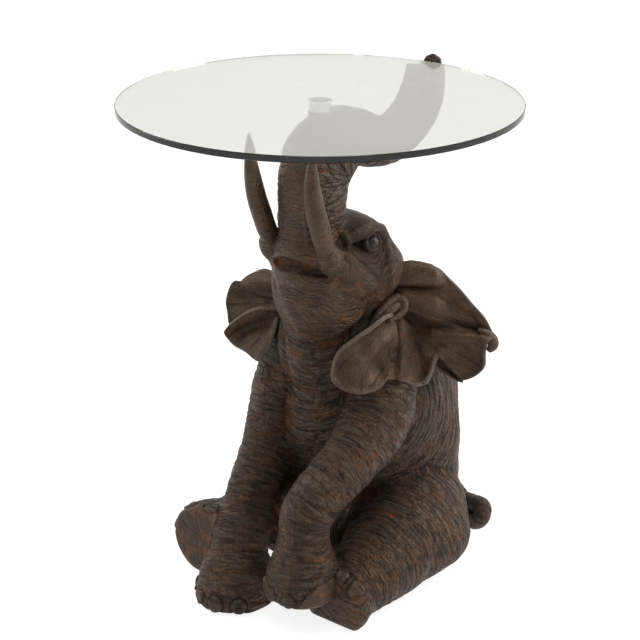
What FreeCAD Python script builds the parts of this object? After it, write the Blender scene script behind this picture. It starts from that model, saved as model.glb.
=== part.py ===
import FreeCAD, Part
import os
import Sketcher
from FreeCAD import Placement, Rotation, Vector

# Side table: a seated elephant cast in resin carries a round glass top on its raised trunk.
# +Z up, floor at Z = 0, origin on the floor under the centre of the glass.
# The elephant faces -Y and its left side is +X.  Millimetres.

doc = FreeCAD.newDocument("ElephantTable")
sheet = doc.addObject("Spreadsheet::Sheet", "Sizes")
next_row = [1]


def size(alias, value, note=""):
    """Put one driving dimension into the sheet and return its value."""
    row = next_row[0]
    next_row[0] += 1
    sheet.set("A%d" % row, note or alias.replace("_", " "))
    sheet.set("B%d" % row, str(value))
    sheet.setAlias("B%d" % row, alias)
    return value


# ---- glass top and its coupling ----------------------------------------------------------
glass_radius = size("glass_radius", 250.0, "round glass top, radius")
glass_thick = size("glass_thick", 8.0, "glass thickness")
glass_under = size("glass_under", 642.0, "height of the underside of the glass")
glass_edge = size("glass_edge", 0.8, "ground edge of the glass")
film_radius = size("film_radius", 14.5, "adhesive film, radius")
film_thick = size("film_thick", 0.2, "adhesive film, thickness")
disc_radius = size("disc_radius", 15.0, "flange bonded under the glass, radius")
disc_thick = size("disc_thick", 1.0, "flange thickness")
pin_radius = size("pin_radius", 5.0, "pin of the flange, radius")
pin_length = size("pin_length", 11.0, "pin length below the flange")
run_gap = size("run_gap", 0.05, "radial running gap of the pin and of the bush")
bush_radius = size("bush_radius", 7.0, "nylon bush, outer radius")
bush_length = size("bush_length", 11.0, "nylon bush, length")
sleeve_radius = size("sleeve_radius", 13.25, "chromed spacer sleeve, radius")
sleeve_length = size("sleeve_length", 11.4, "chromed spacer sleeve, length")
seat_height = size("seat_height", 629.0, "flat seat on top of the trunk")
insert_radius = size("insert_radius", 9.0, "steel insert cast into the trunk, radius")
insert_length = size("insert_length", 24.0, "steel insert, length")
rod_radius = size("rod_radius", 5.0, "steel rod through the trunk root, radius")
rod_low = size("rod_low", 466.0, "lower end of the rod")
rod_high = size("rod_high", 614.0, "upper end of the rod")

# ---- small fittings ----------------------------------------------------------------------
floor_gap = size("floor_gap", 1.5, "thickness of the felt pads")
pad_radius = size("pad_radius", 18.0, "felt pad, radius")
plug_radius = size("plug_radius", 30.0, "rubber plug of the pour hole, radius")
plug_thick = size("plug_thick", 8.0, "rubber plug, thickness")
eye_radius = size("eye_radius", 9.0, "eye bead, radius")
dowel_radius = size("dowel_radius", 3.0, "ear dowel, radius")
dowel_length = size("dowel_length", 34.0, "ear dowel, length")
wall = size("wall", 11.0, "wall of the hollow body casting")

# ---- castings: sections as (x, y, z, major radius, minor radius) ---------------------------
TORSO = [
    (0, 128, 1.5, 96, 84), (0, 132, 45, 118, 112), (0, 124, 95, 131, 121),
    (0, 112, 155, 141, 122), (0, 100, 215, 142, 119), (0, 74, 280, 124, 106),
    (0, 48, 335, 98, 89), (0, 40, 385, 71, 67)]
HEAD = [
    (0, 6, 345, 40, 36), (0, 16, 372, 71, 61), (0, 30, 400, 92, 74),
    (0, 34, 425, 96, 78), (0, 26, 452, 85, 74), (0, 14, 477, 68, 63),
    (0, -4, 500, 52, 47)]
TRUNK = [
    (0, -12, 500, 48, 41), (0, -20, 532, 45, 39), (0, -20, 562, 42, 38),
    (0, -4, 583, 38, 36), (0, 24, 590, 36, 35), (0, 64, 582, 34, 33),
    (0, 118, 569, 32, 31), (0, 168, 567, 29, 28), (0, 202, 583, 27, 26),
    (0, 223, 608, 25, 24), (0, 234, 624, 22, 22), (0, 237, 638, 20, 20)]
LEG_FRONT_RIGHT = [
    (-57, 42, 320, 47, 47), (-65, 8, 250, 46, 46), (-61, -36, 178, 39, 39),
    (-57, -84, 112, 35, 35), (-46, -122, 58, 38, 38), (-39, -142, 22, 50, 50),
    (-39, -145, 1.5, 43, 43)]
LEG_FRONT_LEFT = [
    (60, 44, 316, 48, 48), (74, -4, 248, 50, 50), (72, -58, 198, 45, 45),
    (64, -102, 154, 37, 37), (60, -112, 114, 34, 34), (60, -113, 78, 39, 39),
    (59, -114, 52, 46, 46), (59, -115, 32, 40, 40)]
LEG_HIND_LEFT = [
    (88, 142, 70, 34, 34), (94, 118, 76, 64, 64), (101, 88, 75, 76, 76),
    (107, 54, 73, 79, 79), (109, 4, 64, 68, 68), (113, -44, 52, 54, 54),
    (118, -82, 50, 49, 49), (120, -110, 52, 51, 48), (120, -119, 52, 46, 42)]
LEG_HIND_RIGHT = [
    (-88, 142, 62, 30, 30), (-94, 118, 64, 56, 56), (-102, 86, 60, 64, 64),
    (-107, 50, 56, 62, 62), (-112, 2, 48, 51, 51), (-118, -44, 43, 43, 43),
    (-120, -82, 46, 43, 43), (-121, -110, 48, 48, 45), (-121, -118, 48, 43, 40)]
TAIL = [
    (20, 234, 82, 20, 20), (62, 234, 57, 18, 18), (100, 223, 38, 17, 17),
    (132, 199, 34, 16, 16), (150, 178, 46, 15, 15), (155, 162, 66, 13, 13)]
TUSK = [
    (46, -34, 450, 13, 13), (46.2, -42, 468, 14, 14), (45, -61, 510, 13.8, 13.8),
    (45.8, -74, 550, 12.2, 12.2), (47.4, -78.6, 586, 7.4, 7.4), (48.8, -78.6, 608, 2, 2)]
EAR = [
    (66, 44, 388, 44, 9), (96, 44, 370, 82, 8), (126, 54, 354, 92, 8),
    (154, 80, 342, 70, 8), (176, 108, 332, 42, 7), (188, 126, 327, 14, 5)]


def mirrored(sections):
    return [(-x, y, z, a, b) for x, y, z, a, b in sections]


def section_numbers(name, sections):
    for i, values in enumerate(sections, 1):
        for key, value in zip(("px", "py", "pz", "major", "minor"), values):
            size("%s_%d_%s" % (name, i, key), value)


for name, sections in (
        ("torso", TORSO), ("head", HEAD), ("trunk", TRUNK), ("leg_fr", LEG_FRONT_RIGHT),
        ("leg_fl", LEG_FRONT_LEFT), ("leg_hl", LEG_HIND_LEFT), ("leg_hr", LEG_HIND_RIGHT),
        ("tail", TAIL), ("tusk_l", TUSK), ("tusk_r", mirrored(TUSK)), ("ear_l", EAR),
        ("ear_r", mirrored(EAR))):
    section_numbers(name, sections)
doc.recompute()


def frame_of(normal, major):
    """Rotation whose Z is the section normal and whose X lies near the major direction."""
    z = Vector(normal).normalize()
    x = (Vector(major) - z * z.dot(Vector(major))).normalize()
    return Rotation(x, z.cross(x), z, "ZXY")


def casting(name, sections, major, normal=None, last=None, inside=None):
    """Loft through ellipses whose centres and radii are cells of the sheet.

    inside=(first, last) makes the cavity: the same sections, one wall smaller."""
    points = [Vector(*s[:3]) for s in sections]
    low, high = inside or (1, len(sections))
    less = " - Sizes.wall" if inside else ""
    kind = "_inside" if inside else "_form"
    rings = []
    for i in range(low - 1, high):
        after = points[min(i + 1, len(points) - 1)]
        before = points[max(i - 1, 0)]
        along = Vector(normal) if normal else after - before
        if last and i >= len(points) - last[0]:
            along = Vector(last[1])
        ring = doc.addObject("Part::Ellipse", "%s%s_ring_%d" % (name, kind, i + 1))
        ring.Placement = Placement(points[i], frame_of(along, major))
        key = "Sizes.%s_%d_" % (name, i + 1)
        ring.MajorRadius, ring.MinorRadius = sections[i][3:5]
        ring.setExpression("MajorRadius", key + "major" + less)
        ring.setExpression("MinorRadius", key + "minor" + less)
        for axis in "xyz":
            ring.setExpression("Placement.Base." + axis, key + "p" + axis)
        rings.append(ring)
    loft = doc.addObject("Part::Loft", name + kind)
    loft.Sections = rings
    loft.Solid = True
    loft.Ruled = False
    loft.MaxDegree = 3
    return loft


def cut(base, tools, label):
    for i, tool in enumerate(tools, 1):
        step = doc.addObject("Part::Cut", "%s_cut_%d" % (label, i))
        step.Base = base
        step.Tool = tool
        base = step
    base.Label = label
    return base


def cylinder(name, radius, height, position, direction=(0, 0, 1)):
    """Cylinder whose radius and height are expressions on the sheet."""
    item = doc.addObject("Part::Cylinder", name)
    item.setExpression("Radius", radius)
    item.setExpression("Height", height)
    item.Placement = Placement(Vector(*position), Rotation(Vector(0, 0, 1), Vector(*direction)))
    return item


def turned(name, profile):
    """Turned piece about the Z axis: rings of (outer, inner, low, high) as sheet expressions."""
    body = doc.addObject("PartDesign::Body", name)
    plane = next(f for f in body.Origin.OriginFeatures if f.Role == "XY_Plane")
    for i, (outer, inner, low, length) in enumerate(profile, 1):
        sketch = body.newObject("Sketcher::SketchObject", "%s_profile_%d" % (name, i))
        sketch.AttachmentSupport = (plane, [""])
        sketch.MapMode = "FlatFace"
        sketch.setExpression("AttachmentOffset.Base.z", low)
        for radius in (outer, inner):
            if not radius:
                continue
            start = 10.0 if radius is outer else 2.0
            index = sketch.addGeometry(Part.Circle(Vector(0, 0, 0), Vector(0, 0, 1), start), False)
            sketch.addConstraint(Sketcher.Constraint("Coincident", index, 3, -1, 1))
            number = sketch.addConstraint(Sketcher.Constraint("Radius", index, start))
            sketch.setExpression("Constraints[%d]" % number, radius)
        pad = body.newObject("PartDesign::Pad", "%s_pad_%d" % (name, i))
        pad.Profile = sketch
        pad.setExpression("Length", length)
        doc.recompute()
    body.Label = name
    return body


# ---- glass, adhesive, flange with pin, bush, sleeve, insert ----------------------------------
glass = turned("glass_top", [("Sizes.glass_radius", "", "Sizes.glass_under", "Sizes.glass_thick")])
plate = glass.Tip
rim = glass.newObject("PartDesign::Chamfer", "glass_ground_edge")
rim.Base = (plate, ["Edge%d" % (i + 1) for i, edge in enumerate(plate.Shape.Edges)
                    if len(edge.Vertexes) == 1])
rim.setExpression("Size", "Sizes.glass_edge")
glass.Tip = rim

turned("bond_film", [("Sizes.film_radius", "", "Sizes.glass_under - Sizes.film_thick",
                      "Sizes.film_thick")])
turned("mounting_disc", [
    ("Sizes.pin_radius", "",
     "Sizes.glass_under - Sizes.film_thick - Sizes.disc_thick - Sizes.pin_length",
     "Sizes.pin_length"),
    ("Sizes.disc_radius", "", "Sizes.glass_under - Sizes.film_thick - Sizes.disc_thick",
     "Sizes.disc_thick")])
turned("nylon_bush", [("Sizes.bush_radius", "Sizes.pin_radius + Sizes.run_gap",
                       "Sizes.seat_height + 0.3", "Sizes.bush_length")])
turned("spacer_sleeve", [("Sizes.sleeve_radius", "Sizes.bush_radius + Sizes.run_gap",
                          "Sizes.seat_height", "Sizes.sleeve_length")])
insert = cylinder("insert_blank", "Sizes.insert_radius", "Sizes.insert_length",
                  (0, 0, seat_height - insert_length))
insert.setExpression("Placement.Base.z", "Sizes.seat_height - Sizes.insert_length")
rod = cylinder("trunk_rod", "Sizes.rod_radius", "Sizes.rod_high - Sizes.rod_low", (0, 0, rod_low))
rod.setExpression("Placement.Base.z", "Sizes.rod_low")
socket = cut(insert, [rod], "socket_insert")

# ---- castings as plain forms, before they are fitted to each other ---------------------------
torso_form = casting("torso", TORSO, (0, 1, 0), normal=(0, 0, 1))
torso_inside = casting("torso", TORSO, (0, 1, 0), normal=(0, 0, 1), inside=(1, len(TORSO)))
torso_inside.Sections[0].setExpression("Placement.Base.z", "Sizes.torso_1_pz + Sizes.wall")
torso_inside.Sections[-1].setExpression("Placement.Base.z",
                                        "Sizes.torso_%d_pz - Sizes.wall" % len(TORSO))
head_form = casting("head", HEAD, (0, 1, 0), normal=(0, 0, 1))
head_inside = casting("head", HEAD, (0, 1, 0), normal=(0, 0, 1), inside=(3, 5))
trunk_form = casting("trunk", TRUNK, (0, 1, -0.2))
for end in (trunk_form.Sections[0], trunk_form.Sections[-1]):
    end.Placement = Placement(end.Placement.Base, frame_of((0, 0, 1), (0, 1, 0)))
leg_fr_form = casting("leg_fr", LEG_FRONT_RIGHT, (1, 0, 0), last=(2, (0, 0, -1)))
leg_fr_inside = casting("leg_fr", LEG_FRONT_RIGHT, (1, 0, 0), inside=(1, 5))
leg_fl_form = casting("leg_fl", LEG_FRONT_LEFT, (1, 0, 0), last=(4, (0, 0, -1)))
leg_fl_inside = casting("leg_fl", LEG_FRONT_LEFT, (1, 0, 0), last=(4, (0, 0, -1)), inside=(1, 6))
leg_hl_form = casting("leg_hl", LEG_HIND_LEFT, (0, 0, 1), last=(3, (0, -1, 0)))
leg_hl_inside = casting("leg_hl", LEG_HIND_LEFT, (0, 0, 1), inside=(2, 7))
leg_hr_form = casting("leg_hr", LEG_HIND_RIGHT, (0, 0, 1), last=(3, (0, -1, 0)))
leg_hr_inside = casting("leg_hr", LEG_HIND_RIGHT, (0, 0, 1), inside=(2, 7))
tail_form = casting("tail", TAIL, (0, 0.3, 1))
tusk_l = casting("tusk_l", TUSK, (1, 0, 0))
tusk_r = casting("tusk_r", mirrored(TUSK), (1, 0, 0))
ear_l_form = casting("ear_l", EAR, (0, 0.75, 0.66))
ear_r_form = casting("ear_r", mirrored(EAR), (0, 0.75, 0.66))
tusk_l.Label = "tusk_left"
tusk_r.Label = "tusk_right"

# Finger of the trunk: a lip that stands up just outside the rim of the glass.
lip_width = size("lip_width", 23.0, "finger of the trunk, width")
lip_thick = size("lip_thick", 7.0, "finger of the trunk, thickness")
lip_inner = size("lip_inner", 251.4, "inner face of the finger, clear of the glass rim")
lip_low = size("lip_low", 626.0, "lower end of the finger")
lip_top = size("lip_top", 662.0, "top of the finger")
doc.recompute()
lip = doc.addObject("Part::Box", "trunk_lip")
lip.setExpression("Length", "Sizes.lip_width")
lip.setExpression("Width", "Sizes.lip_thick")
lip.setExpression("Height", "Sizes.lip_top - Sizes.lip_low")
lip.setExpression("Placement.Base.x", "-Sizes.lip_width / 2")
lip.setExpression("Placement.Base.y", "Sizes.lip_inner")
lip.setExpression("Placement.Base.z", "Sizes.lip_low")
doc.recompute()
lip_round = doc.addObject("Part::Fillet", "trunk_lip_round")
lip_round.Base = lip
lip_round.Edges = [(i + 1, 3.0, 3.0) for i, edge in enumerate(lip.Shape.Edges)
                   if edge.BoundBox.ZMax > lip_top - 1]
boss = cylinder("trunk_boss", "Sizes.sleeve_radius + 2.5", "Sizes.seat_height - 579",
                (0, 0, 579))
boss.setExpression("Placement.Base.z", "579")
trunk_seat = doc.addObject("Part::Fuse", "trunk_with_boss")
trunk_seat.Base = trunk_form
trunk_seat.Tool = boss
trunk_whole = doc.addObject("Part::Fuse", "trunk_with_lip")
trunk_whole.Base = trunk_seat
trunk_whole.Tool = lip_round

# ---- fitting: each casting ends where it meets its neighbour ---------------------------------
spot_face = cylinder("seat_cutter", "Sizes.sleeve_radius + 3", "20", (0, 0, seat_height))
spot_face.setExpression("Placement.Base.z", "Sizes.seat_height")
under = doc.addObject("Part::Box", "below_pads")
under.Length, under.Width = 600, 600
under.setExpression("Height", "200 + Sizes.floor_gap")
under.Placement = Placement(Vector(-300, -300, -200), Rotation())

eyes = []
for side, sign in (("left", 1), ("right", -1)):
    eye = doc.addObject("Part::Sphere", "eye_" + side)
    eye.setExpression("Radius", "Sizes.eye_radius")
    eye.Placement = Placement(Vector(sign * 65.5, 20, 470), Rotation(Vector(0, 0, 1), 35 * sign))
    eye.Label = "eye_" + side
    eyes.append(eye)
dowels = []
for side, sign in (("left", 1), ("right", -1)):
    dowel = cylinder("ear_dowel_" + side, "Sizes.dowel_radius", "Sizes.dowel_length",
                     (sign * 44, 58, 412), (sign * 0.86, 0, -0.51))
    dowels.append(dowel)

plug = cylinder("base_plug", "Sizes.plug_radius", "Sizes.plug_thick", (0, 128, floor_gap))
plug.setExpression("Placement.Base.z", "Sizes.floor_gap")
pour_hole = cylinder("pour_hole", "Sizes.plug_radius", "Sizes.wall + 4", (0, 128, -2))

torso = cut(torso_form, [torso_inside, pour_hole] + dowels, "torso")
head = cut(head_form, [torso_form, head_inside, tusk_l, tusk_r] + eyes + dowels + [rod], "head")
trunk = cut(trunk_whole, [spot_face, insert, rod], "trunk")
leg_fr = cut(leg_fr_form, [torso_form, head_form, leg_fr_inside], "front_leg_right")
leg_fl = cut(leg_fl_form, [torso_form, head_form, leg_fl_inside], "front_leg_left")
leg_hl = cut(leg_hl_form, [torso_form, leg_fl_form, under, leg_hl_inside], "hind_leg_left")
leg_hr = cut(leg_hr_form, [torso_form, leg_fr_form, under, leg_hr_inside], "hind_leg_right")
tail = cut(tail_form, [torso_form, leg_hl_form], "tail")
ear_l = cut(ear_l_form, [head_form, torso_form, leg_fl_form, dowels[0]], "ear_left")
ear_r = cut(ear_r_form, [head_form, torso_form, leg_fr_form, dowels[1]], "ear_right")

for name, x, y in (("pad_foot", -46, -148), ("pad_hip_left", 111, 50),
                   ("pad_hip_right", -111, 50), ("pad_rump", 0, 195)):
    cylinder(name, "Sizes.pad_radius", "Sizes.floor_gap", (x, y, 0))

doc.recompute()

NODES = [
    "glass_top", "bond_film", "mounting_disc", "nylon_bush", "spacer_sleeve", "socket_insert",
    "trunk_rod", "trunk", "head", "ear_left", "ear_right", "ear_dowel_left", "ear_dowel_right",
    "tusk_left", "tusk_right", "eye_left", "eye_right", "torso", "base_plug",
    "front_leg_right", "front_leg_left", "hind_leg_right", "hind_leg_left", "tail",
    "pad_foot", "pad_hip_left", "pad_hip_right", "pad_rump"]

failed = [item.Name for item in doc.Objects if "Invalid" in item.State or "Error" in item.State]
if failed:
    raise RuntimeError("these did not recompute: " + ", ".join(failed))

os.makedirs("parts", exist_ok=True)
for node in NODES:
    found = [item for item in doc.Objects if item.Label == node]
    if len(found) != 1:
        raise RuntimeError("%d objects are labelled %s" % (len(found), node))
    shape = found[0].Shape
    if shape.isNull() or not shape.isValid():
        raise RuntimeError("%s has no valid shape" % node)
    if len(shape.Solids) != 1:
        raise RuntimeError("%s has %d solids" % (node, len(shape.Solids)))
    shape.exportStep("parts/%s.step" % node)
    box = shape.BoundBox
    print("%-18s %8.1f cm3  X %7.1f %7.1f  Y %7.1f %7.1f  Z %7.1f %7.1f" % (
        node, shape.Volume / 1000, box.XMin, box.XMax, box.YMin, box.YMax, box.ZMin, box.ZMax))
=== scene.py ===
"""Side table: a seated elephant cast in dark resin carries a round glass top on its trunk."""
import math

import bpy
import numpy as np
import openvdb
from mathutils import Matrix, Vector


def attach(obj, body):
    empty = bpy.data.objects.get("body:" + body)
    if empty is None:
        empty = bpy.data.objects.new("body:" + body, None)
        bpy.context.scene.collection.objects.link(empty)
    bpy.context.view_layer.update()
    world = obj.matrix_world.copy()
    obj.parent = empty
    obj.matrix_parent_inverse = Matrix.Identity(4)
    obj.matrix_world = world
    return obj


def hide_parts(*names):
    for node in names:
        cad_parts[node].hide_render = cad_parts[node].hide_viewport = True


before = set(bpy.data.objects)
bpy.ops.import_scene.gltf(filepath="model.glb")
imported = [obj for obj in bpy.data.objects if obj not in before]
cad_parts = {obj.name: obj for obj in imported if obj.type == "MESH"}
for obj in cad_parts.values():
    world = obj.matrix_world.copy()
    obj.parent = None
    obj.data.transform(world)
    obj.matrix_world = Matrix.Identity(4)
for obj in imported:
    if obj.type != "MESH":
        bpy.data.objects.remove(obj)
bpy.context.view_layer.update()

MM = 0.001
PARTS = ["torso", "head", "trunk", "front_leg_right", "front_leg_left",
         "hind_leg_left", "hind_leg_right", "tail"]
TORSO, HEAD, TRUNK, LEG_FR, LEG_FL, LEG_HL, LEG_HR, TAIL = range(8)
FLOOR_GAP = 1.5

# ---- clay: a distance field in millimetres that the castings are modelled in -----------------
VOXEL = 1.8
LOW = np.array([-216.0, -226.0, -8.0])
HIGH = np.array([216.0, 276.0, 672.0])
SHAPE = np.ceil((HIGH - LOW) / VOXEL).astype(int)
FAR = 60.0
field = np.full(SHAPE, FAR, np.float32)
nearest = np.full(SHAPE, FAR, np.float32)
owner = np.zeros(SHAPE, np.uint8)


def window(low, high):
    """Index slices and open coordinate arrays of the grid between two corners."""
    a = np.maximum(np.floor((np.array(low) - LOW) / VOXEL).astype(int), 0)
    b = np.minimum(np.ceil((np.array(high) - LOW) / VOXEL).astype(int) + 1, SHAPE)
    cut = tuple(slice(i, j) for i, j in zip(a, b))
    axes = [(LOW[k] + VOXEL * np.arange(a[k], b[k])).astype(np.float32) for k in range(3)]
    return cut, axes[0][:, None, None], axes[1][None, :, None], axes[2][None, None, :]


def smooth_min(a, b, k):
    mix = np.clip(0.5 + 0.5 * (b - a) / k, 0, 1)
    return b * (1 - mix) + a * mix - k * mix * (1 - mix)


def spline(points, steps):
    """Catmull-Rom curve through rows of numbers."""
    p = np.array(points, float)
    p = np.vstack([2 * p[0] - p[1], p, 2 * p[-1] - p[-2]])
    t = np.linspace(0, 1, steps, endpoint=False)[:, None]
    rows = []
    for a, b, c, d in zip(p[:-3], p[1:-2], p[2:-1], p[3:]):
        rows.append(0.5 * (2 * b + (c - a) * t + (2 * a - 5 * b + 4 * c - d) * t ** 2
                           + (3 * b - a - 3 * c + d) * t ** 3))
    return np.vstack(rows + [p[-2][None]])


def press(part, cut, distance, blend):
    """Add a form to the clay, blended into what is there."""
    distance = distance.astype(np.float32)
    field[cut] = smooth_min(field[cut], distance, blend)
    closer = distance < nearest[cut]
    owner[cut] = np.where(closer, part, owner[cut])
    nearest[cut] = np.where(closer, distance, nearest[cut])


def ball(part, centre, radii, tilt=0.0, blend=14.0, turn=0.0, carve=False):
    """Ellipsoid, tilted about X and turned about Z, in degrees."""
    reach = max(radii) + 2 * blend + 6
    cut, x, y, z = window(np.array(centre) - reach, np.array(centre) + reach)
    x, y, z = x - centre[0], y - centre[1], z - centre[2]
    if turn:
        c, s = math.cos(math.radians(turn)), math.sin(math.radians(turn))
        x, y = x * c + y * s, -x * s + y * c
    c, s = math.cos(math.radians(tilt)), math.sin(math.radians(tilt))
    y, z = y * c + z * s, -y * s + z * c
    a, b, h = radii
    q = np.sqrt((x / a) ** 2 + (y / b) ** 2 + (z / h) ** 2) + 1e-6
    slope = np.sqrt((x / a ** 2) ** 2 + (y / b ** 2) ** 2 + (z / h ** 2) ** 2) + 1e-6
    distance = q * (q - 1) / slope
    if carve:
        field[cut] = -smooth_min(-field[cut], distance.astype(np.float32), blend)
    else:
        press(part, cut, distance, blend)


def limb(part, points, blend=14.0, steps=8, widen=1.0, ends=(), carve=False):
    """Round form along a curve of (x, y, z, radius); widen stretches it along Y only."""
    path = spline(points, steps)
    low = path[:, :3].min(0) - path[:, 3].max() * max(widen, 1) - 2 * blend - 6
    high = path[:, :3].max(0) + path[:, 3].max() * max(widen, 1) + 2 * blend + 6
    whole, x, y, z = window(low, high)
    distance = np.full(field[whole].shape, FAR, np.float32)
    first = [s.start for s in whole]
    for p, q in zip(path[:-1], path[1:]):
        reach = max(p[3], q[3]) * max(widen, 1) + 2 * blend + 6
        cut, x, y, z = window(np.minimum(p, q)[:3] - reach, np.maximum(p, q)[:3] + reach)
        along = q[:3] - p[:3]
        length2 = float(along @ along) + 1e-9
        dx, dy, dz = x - p[0], y - p[1], z - p[2]
        t = np.clip((dx * along[0] + dy * along[1] + dz * along[2]) / length2, 0, 1)
        away = np.sqrt((dx - along[0] * t) ** 2 + ((dy - along[1] * t) / widen) ** 2
                       + (dz - along[2] * t) ** 2) - (p[3] + (q[3] - p[3]) * t)
        inner = tuple(slice(s.start - f, s.stop - f) for s, f in zip(cut, first))
        distance[inner] = np.minimum(distance[inner], away)
    cut, x, y, z = window(low, high)
    for axis, at, sign, soft in ends:
        wall = sign * ({"x": x, "y": y, "z": z}[axis] - at)
        distance = -smooth_min(-distance, -wall.astype(np.float32), soft)
    if carve:
        field[cut] = -smooth_min(-field[cut], distance, blend)
    else:
        press(part, cut, distance, blend)
    return path


def flat(low, high, normal, at, soft):
    """Takes away what lies beyond a plane, inside a box."""
    cut, x, y, z = window(low, high)
    a, b, c = np.array(normal) / np.linalg.norm(normal)
    wall = (a * x + b * y + c * z - at).astype(np.float32)
    field[cut] = -smooth_min(-field[cut], -wall, soft)


def both(function, part, points, **more):
    """The same form on the left and on the right."""
    left, right = part if isinstance(part, tuple) else (part, part)
    if isinstance(points, tuple):
        centre, radii = points
        turn = more.pop("turn", 0.0)
        function(left, centre, radii, turn=turn, **more)
        function(right, (-centre[0],) + tuple(centre[1:]), radii, turn=-turn, **more)
        return None
    return (function(left, points, **more),
            function(right, [(-p[0],) + tuple(p[1:]) for p in points], **more))


# torso: chest, belly, rump and neck
ball(TORSO, (0, 103, 204), (122, 148, 130))
ball(TORSO, (0, 128, 92), (122, 120, 104), blend=26)
ball(TORSO, (0, 140, 34), (112, 100, 44), blend=22)
ball(TORSO, (0, 50, 312), (84, 90, 94), tilt=20, blend=26)
limb(TORSO, [(0, 20, 322, 60), (0, 32, 360, 60), (0, 42, 398, 64)], blend=18)
limb(TORSO, [(0, 92, 330, 60), (0, 84, 372, 56), (-4, 78, 410, 52)], blend=26)
ball(TORSO, (-16, 14, 66), (86, 98, 68), blend=22)
both(ball, TORSO, ((62, 136, 152), (62, 64, 68)), blend=22)

# hind legs lie on the floor with their soles to the front; the left thigh is fuller
hind_left = limb(LEG_HL, [(84, 138, 62, 50), (95, 104, 64, 66), (106, 60, 64, 70),
                          (113, 6, 52, 62), (113, -44, 42, 51), (113, -80, 36, 43),
                          (112, -106, 31, 41), (111, -134, 30, 41)], blend=9)
ball(LEG_HL, (111, 68, 46), (75, 80, 49), blend=14)
ball(LEG_HL, (111, -112, 30), (49, 44, 41), blend=8)
SOLE_TILT = np.array([0.0, -1.0, 0.141]) / 1.01
SOLE_LEFT = 121
flat((30, -200, -8), (190, -84, 140), SOLE_TILT, SOLE_LEFT, 5)
SOLE_RIGHT = 132
hind_right = limb(LEG_HR, [(-92, 118, 66, 56), (-102, 84, 62, 58), (-108, 48, 54, 52),
                           (-112, 2, 44, 42), (-113, -44, 40, 38), (-108, -84, 46, 42),
                           (-101, -112, 50, 51), (-99, -142, 50, 53)],
                  blend=9, ends=[("y", -SOLE_RIGHT, -1, 7)])

# front legs: the right one stands, the left one has its knee bent and its foot lifted
leg_fr = limb(LEG_FR, [(-55, 42, 312, 48), (-64, 8, 250, 44), (-58, -36, 178, 37),
                       (-55, -84, 112, 34), (-42, -121, 58, 38), (-34, -138, 24, 51),
                       (-33, -142, -4, 55)], blend=15)
leg_fl = limb(LEG_FL, [(64, 48, 300, 46), (84, 14, 240, 46), (86, -44, 203, 39),
                       (74, -91, 171, 35.5), (63, -112, 139, 34.5), (63, -118, 110, 33.5),
                       (65, -122, 81, 40), (67, -127, 56, 48), (67, -129, 28, 49)],
              blend=10, ends=[("z", 36.5, -1, 9)])

# head: skull, cheeks, jaw, muzzle, sockets of the tusks, brow and temples
ball(HEAD, (0, 46, 420), (75, 80, 60), tilt=-26, blend=16)
ball(HEAD, (0, 45, 453), (68, 64, 43), tilt=-20, blend=14)
ball(HEAD, (0, -2, 402), (60, 60, 68), blend=20)
limb(HEAD, [(0, -24, 458, 43), (0, -14, 436, 52), (0, -2, 420, 56)], blend=14)
both(limb, HEAD, [(46, -41, 465, 16.5), (46, -35, 457, 18), (48, -14, 449, 24),
                  (52, 8, 432, 31)], blend=9)
both(ball, HEAD, ((58, 58, 424), (25, 32, 30)), blend=14)
both(limb, HEAD, [(46, -14, 478, 6), (60, 0, 486, 7.5), (66, 18, 489, 8.5), (64, 38, 484, 8.5),
                  (60, 54, 470, 8)], blend=9)
tail = limb(TAIL, [(24, 226, 62, 15), (64, 224, 44, 15), (98, 210, 32, 14.5), (122, 200, 36, 14),
                   (142, 187, 46, 13.5), (152, 180, 42, 13.5), (149, 178, 30, 13.5),
                   (138, 181, 22, 13), (128, 188, 23, 12)], blend=7)

# trunk: up from the head, over the seat, back and up again to the finger at the rim
TRUNK_LINE = [(0, -8, 448, 44), (0, -17, 486, 42), (0, -22, 524, 40), (0, -22, 556, 39),
              (0, -9, 580, 38), (0, 26, 592, 36), (0, 68, 584, 34.5), (0, 120, 566, 31),
              (0, 172, 564, 29), (0, 208, 583, 26), (0, 229, 611, 23), (0, 235, 636, 20)]
trunk = limb(TRUNK, TRUNK_LINE, blend=12)
limb(TRUNK, [(0, -4, 470, 39), (0, -5, 522, 37), (0, 6, 556, 37), (0, 24, 574, 37)], blend=8)
both(limb, TRUNK, [(6, 176, 566, 27), (8, 210, 583, 25), (9, 229, 611, 22.5), (9, 235, 636, 20)],
     blend=8)
for side in (-8.5, 0, 8.5):
    limb(TRUNK, [(side * 1.2, 250, 622, 7), (side * 1.1, 253, 642, 5.2),
                 (side * 0.9, 253.4, 656.2 - 0.05 * side ** 2, 4.9)], blend=6, steps=5)

# mouth: open slot under the trunk and the lower lip
limb(HEAD, [(-27, -53, 447, 5), (-18, -60, 449, 8), (0, -66, 451, 10), (24, -59, 448, 8),
            (40, -44, 442, 4)], blend=5, carve=True)
MOUTH = [(-27, -53, 447), (-18, -60, 449), (0, -64, 450), (24, -58, 447), (40, -44, 442)]
limb(HEAD, [(-22, -42, 451, 6), (0, -46, 453, 8), (26, -42, 450, 6)], blend=9)
limb(HEAD, [(-31, -46, 434, 6), (-20, -55, 434, 8), (0, -62, 433, 9), (24, -56, 431, 8),
            (42, -39, 428, 7)], blend=5)

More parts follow.
